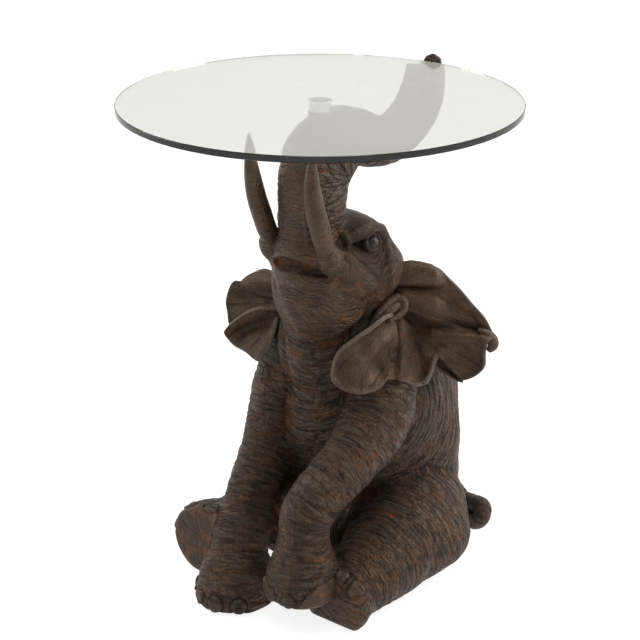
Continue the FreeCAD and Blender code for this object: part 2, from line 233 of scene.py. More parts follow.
# eyes: a hollow for each bead, and two lids
EYE = np.array([66.5, 19.5, 473.0])
both(ball, HEAD, ((74, 18, 476), (12, 11.5, 10.5)), blend=5, carve=True)
OUT = np.array([0.86, -0.34, 0.38])
AHEAD = np.cross((0, 0, 1), OUT)
AHEAD = AHEAD / np.linalg.norm(AHEAD)
OVER = np.cross(OUT, AHEAD)
for reach, lift, thick, arc in ((10.5, 3.5, 3.0, (-15, 195)), (11.0, 2.0, 2.6, (190, 350))):
    lid = []
    for angle in np.linspace(math.radians(arc[0]), math.radians(arc[1]), 9):
        spot = EYE + OUT * lift + reach * (math.cos(angle) * AHEAD + 0.8 * math.sin(angle) * OVER)
        lid.append(tuple(spot) + (thick,))
    both(limb, HEAD, lid, blend=3, steps=3)

# everything stands on the pads
cut, x, y, z = window(LOW, HIGH)
field = -smooth_min(-field, -(FLOOR_GAP - z + 0 * field), 3.0)
# raised flat seat on top of the trunk for the bright sleeve, and the room the glass needs
limb(TRUNK, [(0, 0, 596, 16), (0, 0, 640, 15.5)], blend=5, steps=2, ends=[("z", 629.2, 1, 1.5)])
cut, x, y, z = window((-30, -30, 600), (30, 40, 672))
seat = np.maximum(629.2 - z, np.sqrt(x ** 2 + y ** 2) - 19.0) + 0 * field[cut]
field[cut] = -smooth_min(-field[cut], seat.astype(np.float32), 0.5)
cut, x, y, z = window((-60, 150, 600), (60, 276, 672))
glass_room = np.maximum(641.0 - z, np.sqrt(x ** 2 + y ** 2) - 250.9)
field[cut] = -smooth_min(-field[cut], (glass_room + 0 * field[cut]).astype(np.float32), 1.0)


# ---- skin of the clay ------------------------------------------------------------------------
grid = openvdb.FloatGrid(FAR)
grid.copyFromArray(np.ascontiguousarray(np.minimum(field, FAR)))
points, quads = grid.convertToQuads(0.0)
points = points.astype(np.float64)
quads = quads.astype(np.int64)
index = np.clip(np.round(points).astype(int), 0, np.array(SHAPE) - 1)
part_of = owner[index[:, 0], index[:, 1], index[:, 2]]
points = LOW + points * VOXEL


def face_normals(p, q):
    n = np.cross(p[q[:, 2]] - p[q[:, 0]], p[q[:, 3]] - p[q[:, 1]])
    return n


def vertex_normals(p, q):
    n = face_normals(p, q)
    total = np.zeros_like(p)
    for corner in range(4):
        for axis in range(3):
            total[:, axis] += np.bincount(q[:, corner], n[:, axis], len(p))
    return total / (np.linalg.norm(total, axis=1)[:, None] + 1e-12)


def relaxed(p, q, rounds):
    """Evens out the stair steps of the grid."""
    ring = np.roll(q, -1, axis=1)
    a = np.concatenate([q.ravel(), ring.ravel()])
    b = np.concatenate([ring.ravel(), q.ravel()])
    count = np.bincount(a, minlength=len(p))[:, None]
    for weight in [0.5, -0.52] * rounds:
        mean = np.stack([np.bincount(a, p[b, k], len(p)) for k in range(3)], 1) / count
        p = p + weight * (mean - p)
    return p


points = relaxed(points, quads, 2)
normals = vertex_normals(points, quads)
centre_out = normals[np.argmax(points[:, 2])]
if centre_out[2] < 0:
    quads = quads[:, ::-1]
    normals = -normals


def hashed(ix, iy, iz, iw, seed):
    h = (ix * np.int64(374761393) + iy * np.int64(668265263) + iz * np.int64(2147483647)
         + iw * np.int64(1274126177) + np.int64(seed) * np.int64(987643)) & 0xFFFFFFFF
    h = ((h ^ (h >> 13)) * np.int64(1103515245)) & 0xFFFFFFFF
    h = ((h ^ (h >> 16)) * np.int64(69069)) & 0xFFFFFFFF
    return (h & 0xFFFF) / 32767.5 - 1.0


def noise(p, run, seed):
    """Value noise in space and along the run of the skin, from -1 to 1."""
    q = np.concatenate([p, run[:, None]], 1)
    cell = np.floor(q).astype(np.int64)
    f = q - cell
    f = f * f * f * (f * (f * 6 - 15) + 10)
    total = 0
    for corner in range(16):
        bits = [(corner >> k) & 1 for k in range(4)]
        weight = 1
        for k in range(4):
            weight = weight * (f[:, k] if bits[k] else 1 - f[:, k])
        total = total + weight * hashed(*[cell[:, k] + bits[k] for k in range(4)], seed)
    return total


def creases(p, run, spacing, stretch, seed, sharp=0.22):
    """Lines that cross the run: 1 in the crease, 0 between creases."""
    value = noise(p / stretch, run / spacing, seed)
    return np.exp(-(value / sharp) ** 2)


def smooth_step(v, low, high):
    t = np.clip((v - low) / (high - low), 0, 1)
    return t * t * (3 - 2 * t)


def along_path(p, path):
    """Length along a curve and direction from the curve, for each point."""
    fine = spline(path[::4], 6)[:, :3] if len(path) > 40 else path[:, :3]
    reach = np.concatenate([[0], np.cumsum(np.linalg.norm(np.diff(fine, axis=0), axis=1))])
    best = np.full(len(p), 1e9)
    run = np.zeros(len(p))
    side = np.zeros_like(p)
    for i, (a, b) in enumerate(zip(fine[:-1], fine[1:])):
        d = b - a
        t = np.clip((p - a) @ d / (d @ d), 0, 1)
        away = p - a - t[:, None] * d
        dist = (away ** 2).sum(1)
        near = dist < best
        best[near] = dist[near]
        run[near] = (reach[i] + t * (reach[i + 1] - reach[i]))[near]
        side[near] = away[near]
    return run, side / (np.linalg.norm(side, axis=1)[:, None] + 1e-9)


X, Y, Z = points.T
run = np.zeros(len(points))
cross = np.zeros(len(points))
depth = np.zeros(len(points))
fold = np.zeros(len(points))
legs = {LEG_FR: leg_fr, LEG_FL: leg_fl, LEG_HL: hind_left, LEG_HR: hind_right, TAIL: tail}
for part, path in legs.items():
    mine = part_of == part
    s, side = along_path(points[mine], path)
    run[mine] = s
    cross[mine] = np.arctan2(side[:, 0], side[:, 1]) * 40
mine = part_of == TRUNK
s, side = along_path(points[mine], trunk)
run[mine] = s
cross[mine] = side[:, 0] * 40
trunk_s, trunk_side = np.zeros(len(points)), np.zeros_like(points)
trunk_s[mine], trunk_side[mine] = s, side

mine = part_of == TORSO
chest = smooth_step(-Y, -40, 10) * smooth_step(-np.abs(X), -75, -45)
u_arc = Z - 0.006 * X ** 2
elbow = np.stack([np.abs(X) - 84, Y - 6, Z - 252], 1)
around = np.linalg.norm(elbow * (0.6, 1.0, 1.0), axis=1)
run[mine] = (chest * u_arc + (1 - chest) * around)[mine]
cross[mine] = (Z + 0.4 * Y)[mine]

mine = part_of == HEAD
to_eye = np.linalg.norm(np.stack([np.abs(X) - EYE[0], Y - EYE[1], Z - EYE[2]], 1), axis=1)
lids = np.exp(-(to_eye / 34) ** 2)
cheek_run = 0.8 * Z + 0.35 * Y + 10 * noise(points / 34, Z * 0, 29)
run[mine] = (lids * to_eye + (1 - lids) * cheek_run)[mine]
cross[mine] = (Z - 0.5 * Y)[mine]

# creases that are modelled, by part, with painted shade laid into them; the finest ones are in the
# material
wide = creases(points, run, 13.0, 50.0, 3, 0.20)
middle = creases(points, run, 7.5, 40.0, 7, 0.24)
netted = creases(points, cross, 12.0, 26.0, 11)
patch = 0.5 + 0.5 * noise(points / 40, run * 0, 5)
amount_wide = np.zeros(len(points))
amount_mid = np.zeros(len(points))
amount_net = np.zeros(len(points))
for part, w, m, n in ((TORSO, 0.8, 0.8, 0.6), (HEAD, 0.3, 0.45, 0.6), (TRUNK, 0.6, 0.8, 0.2),
                      (LEG_FR, 0.9, 1.2, 0.3), (LEG_FL, 0.7, 1.2, 0.3),
                      (LEG_HL, 0.6, 1.2, 0.4), (LEG_HR, 0.6, 1.1, 0.4), (TAIL, 0.9, 0.9, 0.2)):
    mine = part_of == part
    amount_wide[mine], amount_mid[mine], amount_net[mine] = w, m, n
amount_wide += 0.7 * chest * (part_of == TORSO)
sole = (smooth_step(points @ SOLE_TILT, SOLE_LEFT - 4.5, SOLE_LEFT - 1) * (part_of == LEG_HL)
        + smooth_step(-Y, SOLE_RIGHT - 5, SOLE_RIGHT - 1) * (part_of == LEG_HR))
plain = 1 - 0.93 * sole
trunk_front = smooth_step(-Y, 40, 52) * smooth_step(-np.abs(X), -24, -17) * (part_of == TRUNK)
plain = plain * (1 - 0.72 * trunk_front) * (1 - 0.42 * (part_of == HEAD))
depth -= plain * (amount_wide * wide * (0.5 + patch) + amount_mid * middle
                  + amount_net * netted * patch)
fold += plain * (0.45 * wide * amount_wide + 0.40 * middle * amount_mid)

# deep rings on the back of the trunk, with painted shade in their grooves
mine = part_of == TRUNK
back = np.clip(smooth_step(trunk_side[:, 1], -0.5, 0.1) * smooth_step(-trunk_s, -190, -120)
               + 0.8 * smooth_step(trunk_s, 120, 190), 0, 1) * mine
warp = 3.5 * noise(points / 25, run * 0, 17)
ring = np.exp(-(np.sin(math.pi * (trunk_s + warp) / 17.0) / 0.17) ** 2)
depth -= 3.0 * back * ring
fold += 1.1 * back * ring

# folds round the eye
mine = part_of == HEAD
lid_wave = np.cos(2 * math.pi * (to_eye - 11) / 6.6) * np.exp(-((to_eye - 14) / 16) ** 2)
depth += 0.8 * lid_wave * mine * smooth_step(to_eye, 7, 11)


def nails(part, centre, up, ahead, radius, angles, level, half_width, half_height):
    """Toenails: raised ovals with a groove round them, and painted shade in the groove."""
    global depth, fold
    mine = part_of == part
    up, ahead = np.array(up, float), np.array(ahead, float)
    side = np.cross(up, ahead)
    d = points - np.array(centre, float)
    height = d @ up
    angle = np.arctan2(d @ side, d @ ahead)
    for middle_angle in angles:
        arc = (angle - math.radians(middle_angle)) * radius
        oval = np.sqrt((arc / half_width) ** 2 + ((height - level) / half_height) ** 2)
        oval = np.where(np.hypot(d @ side, d @ ahead) > 0.7 * radius, oval, 9)
        raised = 1 - smooth_step(oval, 0.78, 1.0)
        groove = np.exp(-((oval - 1.08) / 0.1) ** 2)
        depth += mine * (2.0 * raised - 1.2 * groove)
        fold += mine * 0.9 * groove


nails(LEG_FR, (-33, -142, 0), (0, 0, 1), (0, -1, 0), 54, (-62, -26, 8, 44), 13, 11, 12)
nails(LEG_FL, (67, -128, 0), (0, 0, 1), (0, -1, 0), 49, (-54, -18, 16, 52), 48, 10, 10)
nails(LEG_HL, (111, -108, 30), (0, -1, 0), (0, 0, 1), 44, (-84, -46, -8), 1, 11, 9)
nails(LEG_HR, (-98, -112, 53), (0, -1, 0), (0, 0, 1), 51, (-10, 38, 84), 9, 12, 9)


def mark(parts, line, height, width, stain_and_shade=0.0, sides=(1, -1)):
    """Ridge (up) or crease (down) along a line on the skin, on one or both sides, with painted
    shade laid along it.
    """
    global depth, fold
    for sign in sides:
        path = spline([(sign * p[0], p[1], p[2]) for p in line], 5)
        low, high = path.min(0) - 3 * width, path.max(0) + 3 * width
        close = np.flatnonzero(((points > low) & (points < high)).all(1) & np.isin(part_of, parts))
        best = np.full(len(close), 1e9)
        for a, b in zip(path[:-1], path[1:]):
            d = b - a
            t = np.clip((points[close] - a) @ d / (d @ d), 0, 1)
            best = np.minimum(best, ((points[close] - a - t[:, None] * d) ** 2).sum(1))
        near = np.exp(-best / width ** 2)
        depth[close] += height * near
        fold[close] += stain_and_shade * near


def shifted(line, dx, dy, dz):
    """The same line, moved."""
    return [(p[0] + dx, p[1] + dy, p[2] + dz) for p in line]


# the creases marked below are darkened with painted shade
CHEEK = [(58, -26, 470), (68, -22, 461), (77, -14, 445), (80, -1, 427), (73, 26, 406),
         (68, 38, 389)]
mark([HEAD], CHEEK, 1.8, 6)
mark([HEAD], shifted(CHEEK, 3, 10, 5), -1.8, 4, 0.35)
TEMPLE = [(66, 52, 466), (72, 51, 452), (80, 46, 437), (82, 46, 423), (80, 50, 408)]
mark([HEAD], TEMPLE, 2.2, 4.5)
mark([HEAD], shifted(TEMPLE, 1, -10, -2), -1.6, 3.5, 0.4)
mark([HEAD, TRUNK], [(62, -30, 463), (54, -20, 472), (47, -18, 484), (41, -20, 497)],
     -2.6, 3.5, 0.6)
mark([HEAD, TRUNK], [(66, -26, 468), (57, -14, 477), (49, -12, 490)], 1.8, 3.5)
BROW = [(60, -1, 489), (64, 12, 492), (66, 26, 488), (67, 42, 474)]
mark([HEAD], BROW, 1.6, 4.5)
mark([HEAD], shifted(BROW, -6, -2, 8), -1.4, 3, 0.3)
mark([HEAD], [(60, -14, 468), (70, -12, 458), (77, 6, 450), (75, 34, 446), (73, 47, 453)],
     -1.7, 2.6, 0.5)
mark([HEAD], [(63, -18, 462), (73, -12, 451), (79, 8, 442), (77, 34, 438), (76, 48, 444)],
     -1.2, 2.6, 0.35)
mark([HEAD, TORSO, TRUNK], [(-19, -65, 428), (-12, -63, 415), (-5, -61, 392), (3, -51, 363)],
     1.8, 7, sides=(1,))
mark([HEAD, TORSO, TRUNK], [(-32, -56, 420), (-26, -54, 400), (-19, -50, 380), (-8, -46, 356)],
     -2.4, 6, 0.3, sides=(1,))
mark([HEAD, TORSO], [(36, -34, 340), (45, -26, 346), (54, -14, 355), (61, 4, 364), (67, 28, 370),
                     (76, 38, 380)], -4.0, 6, 0.5)
mark([TRUNK], [(22, -50, 474), (20, -55, 490), (20, -57, 510), (20, -57, 540), (19, -53, 562),
               (18, -44, 584)], 1.8, 3.2)
mark([TRUNK], [(30, -46, 474), (28, -50, 490), (28, -50, 510), (28, -50, 540), (27, -46, 562),
               (26, -37, 584)], -2.0, 4, 0.5)
mark([TORSO, LEG_FR], [(-40, -26, 352), (-36, -32, 328), (-31, -36, 294), (-30, -36, 249),
                       (-22, -42, 211)], -5.0, 8, 0.5, sides=(1,))
# painted shade inside the mouth; extra painted shade on the soles and on the left hind leg
mark([HEAD, TRUNK], shifted(MOUTH, 0, 10, 3), 0.0, 13, 1.0, sides=(1,))
fold += (0.42 + 0.45 * (part_of == LEG_HR)) * sole + 0.16 * (part_of == LEG_HL) * (1 - sole)

depth = np.clip(depth, -6.0, 4.0)
points = points + normals * depth[:, None]
normals = vertex_normals(points, quads)


# ---- materials ---------------------------------------------------------------------------------
class Nodes:
    """Short way to write node trees."""

    def __init__(self, name):
        self.material = bpy.data.materials.new(name)
        self.material.use_nodes = True
        self.tree = self.material.node_tree
        self.shader = self.tree.nodes["Principled BSDF"]
        self.output = self.tree.nodes["Material Output"]

    def add(self, kind, inputs=None, **settings):
        node = self.tree.nodes.new("ShaderNode" + kind)
        for key, value in settings.items():
            setattr(node, key, value)
        for key, value in (inputs or {}).items():
            self.put(node, key, value)
        return node

    def put(self, node, key, value):
        if isinstance(value, bpy.types.Node):
            value = value.outputs[0]
        if isinstance(value, bpy.types.NodeSocket):
            self.tree.links.new(value, node.inputs[key])
        else:
            node.inputs[key].default_value = value

    def math(self, operation, a, b=0.0):
        return self.add("Math", {0: a, 1: b}, operation=operation)

    def ramp(self, value, stops):
        node = self.add("ValToRGB", {0: value})
        while len(node.color_ramp.elements) < len(stops):
            node.color_ramp.elements.new(0.5)
        for element, (at, colour) in zip(node.color_ramp.elements, stops):
            element.position = at
            element.color = tuple(colour) + (1,) if len(colour) == 3 else colour
        return node

    def blend(self, factor, a, b, mode="MIX"):
        node = self.add("Mix", data_type="RGBA", blend_type=mode)
        self.put(node, 0, factor)
        self.put(node, 6, a)
        self.put(node, 7, b)
        return node.outputs[2]

    def skin_lines(self, run_name, spacing, stretch, sharp, detail=1.0):
        """Fine creases that cross the run of the skin: 1 in the crease."""
        run_node = self.add("Attribute", attribute_name=run_name)
        place = self.add("TexCoord").outputs["Object"]
        scaled = self.add("VectorMath", {0: place, 3: 1.0 / stretch}, operation="SCALE")
        w = self.math("MULTIPLY", run_node.outputs["Fac"], 1.0 / spacing)
        tex = self.add("TexNoise", {"Vector": scaled, "W": w, "Scale": 1.0, "Detail": detail,
                                    "Roughness": 0.55}, noise_dimensions="4D")
        centred = self.math("ABSOLUTE", self.math("SUBTRACT", tex.outputs[0], 0.5))
        line = self.add("MapRange", {0: centred, 1: 0.0, 2: sharp, 3: 1.0, 4: 0.0},
                        interpolation_type="SMOOTHERSTEP")
        return line.outputs[0]


CREASE_SHADE = (0.0075, 0.0048, 0.0032)
BROWN = (0.040, 0.0208, 0.0112)
WARM = (0.165, 0.057, 0.015)
GREY = (0.070, 0.045, 0.030)
RUBBED_AND_HIGHLIGHT = (0.115, 0.085, 0.066)


def resin(name, skin=1.0, gloss=0.43):
    """Antiqued resin: dark skin with painted shade in the creases, warm brown left beside the
    creases, greyer on the ridges where it is rubbed and where a painted highlight sits.
    """
    n = Nodes(name)
    place = n.add("TexCoord").outputs["Object"]
    cloud = n.add("TexNoise", {"Vector": place, "Scale": 24.0, "Detail": 6.0, "Roughness": 0.66})
    speck = n.add("TexNoise", {"Vector": place, "Scale": 330.0, "Detail": 2.0, "Roughness": 0.6})
    base = n.blend(n.ramp(cloud.outputs[0], [(0.36, (0, 0, 0)), (0.62, (1, 1, 1))]),
                   BROWN + (1,), GREY + (1,))
    fold_node = n.add("Attribute", attribute_name="fold")
    rub_and_highlight_node = n.add("Attribute", attribute_name="high")
    fine = n.skin_lines("run", 0.0066, 0.042, 0.070)
    finer = n.skin_lines("run", 0.0034, 0.024, 0.09)
    net = n.skin_lines("cross", 0.0060, 0.013, 0.06)
    worn = n.skin_lines("run", 0.0070, 0.034, 0.06, 3.0)
    lines = n.math("MAXIMUM", fine, n.math("MULTIPLY", net, 0.55))
    if skin > 0.5:
        lines = n.math("MULTIPLY", lines, n.add("Attribute", attribute_name="skin").outputs["Fac"])
    crease = n.add("Clamp", {0: n.math("ADD", n.math("MULTIPLY", lines, 0.85 * skin),
                                       fold_node.outputs["Fac"])})
    flecks = n.add("TexNoise", {"Vector": place, "Scale": 48.0, "Detail": 7.0,
                                "Roughness": 0.78, "Distortion": 0.4})
    fleck = n.ramp(flecks.outputs[0], [(0.46, (0, 0, 0)), (0.62, (1, 1, 1))])
    low = n.add("Clamp", {0: n.math("SUBTRACT", 1.0, n.math("MULTIPLY", rub_and_highlight_node.outputs["Fac"],
                                                           1.6))})
    streak = n.math("ADD", n.math("MULTIPLY", worn, 0.62 * skin), 0.10)
    warm = n.math("MULTIPLY", fleck, n.math("MULTIPLY", low, streak))
    warm = n.math("ADD", warm, n.math("MULTIPLY", fold_node.outputs["Fac"],
                                      n.math("MULTIPLY", fleck, 0.45)))
    # painted shade: the fine skin lines and the folds are darkened
    colour = n.blend(n.math("MULTIPLY", crease, 0.90), base, CREASE_SHADE + (1,))
    colour = n.blend(n.add("Clamp", {0: warm}), colour, WARM + (1,))
    # ridges and ear rims lightened: rubbed wear with a painted highlight
    colour = n.blend(n.math("MULTIPLY", rub_and_highlight_node.outputs["Fac"], 0.75), colour, RUBBED_AND_HIGHLIGHT + (1,))
    grain = n.ramp(speck.outputs[0], [(0.30, (0.70, 0.68, 0.66)), (0.70, (1.22, 1.22, 1.20))])
    colour = n.blend(1.0, colour, grain, "MULTIPLY")
    n.put(n.shader, "Base Color", colour)
    rough = n.math("ADD", n.math("MULTIPLY", cloud.outputs[0], 0.22),
                   n.math("ADD", n.math("MULTIPLY", crease, 0.24), gloss - 0.11))
    n.put(n.shader, "Roughness", n.add("Clamp", {0: rough, 1: 0.2, 2: 0.9}))
    n.put(n.shader, "Specular IOR Level", 0.36)
    n.put(n.shader, "Specular Tint", (1.0, 0.86, 0.74, 1))
    height = n.math("MULTIPLY", lines, -1.0 * skin)
    height = n.math("ADD", height, n.math("MULTIPLY", finer, -0.42 * skin))
    height = n.math("ADD", height, n.math("MULTIPLY", speck.outputs[0], 0.18 + 0.16 * skin))
    bump = n.add("Bump", {"Strength": 1.0, "Distance": 0.0026, "Height": height})
    n.put(n.shader, "Normal", bump)
    return n.material


def simple(name, colour, rough, metallic=0.0, grain=300.0, depth_mm=0.02, vary=0.12):
    n = Nodes(name)
    place = n.add("TexCoord").outputs["Object"]
    tex = n.add("TexNoise", {"Vector": place, "Scale": grain, "Detail": 3.0})
    darker = tuple(c * (1 - vary) for c in colour) + (1,)
    n.put(n.shader, "Base Color", n.blend(tex.outputs[0], darker, tuple(colour) + (1,)))
    n.put(n.shader, "Metallic", metallic)
    n.put(n.shader, "Roughness", n.add("MapRange", {0: tex.outputs[0], 3: rough * 0.8,
                                                    4: rough * 1.25}))
    n.put(n.shader, "Normal", n.add("Bump", {"Strength": 0.4, "Distance": depth_mm * MM,
                                             "Height": tex.outputs[0]}))
    return n.material


skin_material = resin("resin_skin")
smooth_material = resin("resin_smooth", skin=0.16, gloss=0.42)


# ---- castings become objects -------------------------------------------------------------------
def cavity(p, q, n, rounds=6):
    """Positive on ridges, negative in hollows."""
    ring = np.roll(q, -1, axis=1)
    a = np.concatenate([q.ravel(), ring.ravel()])
    b = np.concatenate([ring.ravel(), q.ravel()])
    count = np.bincount(a, minlength=len(p))[:, None]
    soft = p.copy()
    for _ in range(rounds):
        soft = np.stack([np.bincount(a, soft[b, k], len(p)) for k in range(3)], 1) / count
    return ((p - soft) * n).sum(1)


# ridges: rubbed wear with a painted highlight; hollows: painted shade added to the folds
height = cavity(points, quads, normals)
high = np.clip(height / 0.5, 0, 1) * 0.5
fold = np.clip(fold * 0.6 + np.clip(-height / 0.6, 0, 1) * 0.6, 0, 1)


def make_mesh(name, verts, faces, material, attributes=None, custom_normals=None):
    mesh = bpy.data.meshes.new(name)
    faces = faces.tolist() if isinstance(faces, np.ndarray) else faces
    mesh.from_pydata((np.asarray(verts) * MM).tolist(), [], faces)
    mesh.polygons.foreach_set("use_smooth", np.ones(len(mesh.polygons), bool))
    for key, values in (attributes or {}).items():
        layer = mesh.attributes.new(key, "FLOAT", "POINT")
        layer.data.foreach_set("value", np.asarray(values, np.float32))
    mesh.materials.append(material)
    if custom_normals is not None:
        mesh.normals_split_custom_set_from_vertices(np.asarray(custom_normals).tolist())
    mesh.update()
    item = bpy.data.objects.new(name, mesh)
    bpy.context.scene.collection.objects.link(item)
    return item


face_part = part_of[quads[:, 0]]
for part, name in enumerate(PARTS):
    faces = quads[face_part == part]
    used = np.unique(faces)
    remap = np.zeros(len(points), int)
    remap[used] = np.arange(len(used))
    item = make_mesh("cast_" + name, points[used], remap[faces], skin_material,
                     {"run": run[used] * MM, "cross": cross[used] * MM, "fold": fold[used],
                      "high": high[used], "skin": plain[used]}, normals[used])
    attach(item, "base")
    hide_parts(name)
    print(name, len(faces))


# ---- tusks --------------------------------------------------------------------------------------
def tube(name, points_, material, body, node, around=40, steps=14, oval=1.0, stain_and_shade=0.0, rub_and_highlight=0.0):
    path = spline(points_, steps)
    verts, faces, runs = [], [], []
    length = 0.0
    for i, row in enumerate(path):
        ahead = path[min(i + 1, len(path) - 1), :3] - path[max(i - 1, 0), :3]
        ahead = Vector(ahead).normalized()
        side = Vector((1, 0, 0))
        side = (side - ahead * side.dot(ahead)).normalized()
        up = ahead.cross(side)
        if i:
            length += np.linalg.norm(row[:3] - path[i - 1, :3])
        for k in range(around):
            a = 2 * math.pi * k / around
            offset = side * math.cos(a) * row[3] + up * math.sin(a) * row[3] * oval
            verts.append(row[:3] + np.array(offset))
            runs.append(length * MM)
    for i in range(len(path) - 1):
        for k in range(around):
            j = (k + 1) % around
            faces.append((i * around + k, i * around + j, (i + 1) * around + j,
                          (i + 1) * around + k))
    faces.append(tuple(reversed(range(around))))
    last = (len(path) - 1) * around
    faces.append(tuple(range(last, last + around)))
    item = make_mesh(name, verts, faces, material,
                     {"run": runs, "fold": [stain_and_shade] * len(runs), "high": [rub_and_highlight] * len(runs)})
    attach(item, body)
    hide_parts(node)
    return item


TUSK_LINE = [(43, -30, 450, 10.5), (43.5, -40, 466, 11.6), (44.5, -52.2, 488, 12.0),
             (45, -61, 510, 12.2), (45.4, -68.7, 530, 11.8), (45.8, -74, 550, 10.9),
             (46.4, -77.4, 570, 9.0), (47.4, -78.6, 586, 6.7), (48.2, -78.8, 599, 4.1),
             (48.7, -78.6, 607, 2.0), (48.9, -78.4, 609.5, 0.5)]
for side_name, sign in (("left", 1), ("right", -1)):
    line = [(sign * p[0],) + tuple(p[1:]) for p in TUSK_LINE]
    tube("cast_tusk_" + side_name, line, smooth_material, "base", "tusk_" + side_name, oval=1.1,
         stain_and_shade=0.12)

# ---- ears ---------------------------------------------------------------------------------------
class EarPlane:
    """Flat coordinates of an ear: right, up and towards the front, in millimetres."""

    def __init__(self, origin, front):
        self.origin = np.array(origin, float)
        self.front = np.array(front) / np.linalg.norm(front)
        self.right = np.cross((0, 0, 1), self.front)
        self.right = self.right / np.linalg.norm(self.right)
        self.up = np.cross(self.front, self.right)

    def place(self, rows):
        return (self.origin + rows[..., :1] * self.right + rows[..., 1:2] * self.up
                + rows[..., 2:3] * self.front)


def away_from(line, x, y):
    """Distance in the ear plane from a line through points, and how far along it."""
    best = np.full(x.shape, 1e9)
    for (ax, ay), (bx, by) in zip(line[:-1], line[1:]):
        dx, dy = bx - ax, by - ay
        t = np.clip(((x - ax) * dx + (y - ay) * dy) / (dx * dx + dy * dy), 0, 1)
        best = np.minimum(best, np.hypot(x - ax - t * dx, y - ay - t * dy))
    return best


def petal(rim, root, waves=(), veins=(), roll=None, rows=44, cup=0.0, stain_and_shade=0.0, fine=7):
    """Sheet from a root line to a rim line, with waves and veins across it; hollow waves get
    painted shade, veins are darkened, and the rim is lightened with rubbed wear and a painted
    highlight.
    """
    outer = spline(rim, fine)
    count = len(outer)
    inner = spline(root, 40)
    inner = inner[np.linspace(0, len(inner) - 1, count).astype(int)]
    v = np.linspace(0, 1, rows)[:, None, None] ** 0.85
    sheet = inner[None] * (1 - v) + outer[None] * v
    x, y = sheet[..., 0], sheet[..., 1]
    v = v[..., 0]
    rise = cup * np.sin(math.pi * v)
    stain_and_shade = np.full_like(x, stain_and_shade)
    for line, height, width in waves:
        near = np.exp(-(away_from(line, x, y) / width) ** 2)
        rise = rise + height * near
        stain_and_shade = stain_and_shade + max(-height, 0) * 0.035 * near
    for line, height, width in veins:
        near = np.exp(-(away_from(line, x, y) / width) ** 2)
        rise = rise + height * near
        stain_and_shade = stain_and_shade + 0.9 * near
    if roll is not None:
        rise = rise + roll(x, y)
    rise = rise + 1.6 * smooth_step(v, 0.93, 1.0)
    sheet = sheet.copy()
    sheet[..., 2] += rise * smooth_step(v, 0.02, 0.25)
    across = np.broadcast_to(np.linspace(0, 1, count)[None] * count * 1.8, x.shape)
    # the rim is lightened: rubbed wear with a painted highlight
    return sheet, np.clip(stain_and_shade, 0, 1), across, 0.8 * smooth_step(v, 0.972, 1.0) + 0 * x


def ear(name, node, plane, petals, thickness=6.0):
    verts, faces, stain_and_shade, run_, lip, start = [], [], [], [], [], 0
    for sheet, stain_and_shade_part, across, edge in petals:
        rows, count = sheet.shape[:2]
        verts.append(plane.place(sheet).reshape(-1, 3))
        stain_and_shade.append(stain_and_shade_part.ravel())
        run_.append(across.ravel())
        lip.append(edge.ravel())
        for i in range(rows - 1):
            for k in range(count - 1):
                a = start + i * count + k
                faces.append((a, a + 1, a + 1 + count, a + count))
        start += rows * count
    item = make_mesh(name, np.concatenate(verts), faces, smooth_material,
                     {"fold": np.concatenate(stain_and_shade), "run": np.concatenate(run_) * MM,
                      "high": np.concatenate(lip)})
    solid = item.modifiers.new("thickness", "SOLIDIFY")
    solid.thickness = thickness * MM
    solid.offset = 0
    solid.use_even_offset = False
    soft = item.modifiers.new("soft", "SUBSURF")
    soft.levels = soft.render_levels = 1
    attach(item, "base")
    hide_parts(node)
    return item


def left_roll(x, y):
    """The upper edge of the left ear is rolled forwards and hangs over a crease."""
    top = np.interp(x, [-8, 2, 11, 21, 37, 50, 61], [32, 41, 45, 45, 42, 35, 24])
    t = np.clip((y - 14.5) / np.maximum(top - 14.5, 3), 0, 1)
    side = smooth_step(-x, -62, -44)
    bulge = 13 * np.sqrt(np.clip(1 - (2 * t - 0.9) ** 2 / 1.25, 0, 1)) * smooth_step(t, 0, 0.1)
    return side * (bulge - 3 * np.exp(-((y - 12) / 3.0) ** 2))


LEFT_RIM = [
    (-7, 31, -6), (2, 40, -4), (11, 44, -2), (21, 44, 0), (37, 41, 2), (52, 36, 0), (64, 25, -4),
    (80, 10, -9), (96, -8, -13), (112, -25, -16), (121, -40, -17), (126, -52, -16),
    (118, -56, -8), (115, -67, -14), (115, -79, -22), (115, -90, -28), (109, -99, -34),
    (99, -106, -38), (87, -109, -38), (83, -98, -42), (77, -82, -44), (70, -68, -44),
    (64, -64, -40), (56, -69, -32), (49, -83, -20), (43, -100, -9), (38, -110, -1),
    (30, -116, 4), (20, -116, 8), (10, -111, 12), (1, -107, 18), (-6, -108, 24), (-13, -108, 30),
    (-21, -118, 38), (-34, -124, 44), (-46, -126, 48), (-62, -123, 52), (-74, -117, 54),
    (-82, -107, 54), (-82, -94, 52), (-78, -79, 50), (-69, -68, 47), (-59, -60, 43),
    (-47, -51, 37), (-33, -41, 29), (-20, -30, 19), (-7, -24, 8)]
LEFT_ROOT = [(-14, 2, -10), (-12, -8, -6), (-9, -16, -2), (-6, -22, 0)]
LEFT_WAVES = [
    ([(8, -2), (24, -6), (44, -10)], 9, 13),
    ([(10, -28), (36, -35), (75, -38), (100, -44)], -12, 10),
    ([(45, -48), (75, -51), (100, -53), (120, -54)], 6, 4), ([(88, -74), (102, -86)], -5, 12),
    ([(18, -52), (24, -76), (30, -98)], -17, 13), ([(3, -36), (6, -60), (5, -104)], 9, 5),
    ([(57, -68), (48, -84), (38, -108)], 5, 5), ([(-20, -58), (-31, -68)], 7, 9),
    ([(-30, -88), (-24, -102)], -6, 9), ([(-66, -80), (-60, -108)], 3, 12),
    ([(-14, -46), (-34, -62), (-52, -78)], 17, 22), ([(-18, -96), (-10, -72)], -7, 11)]
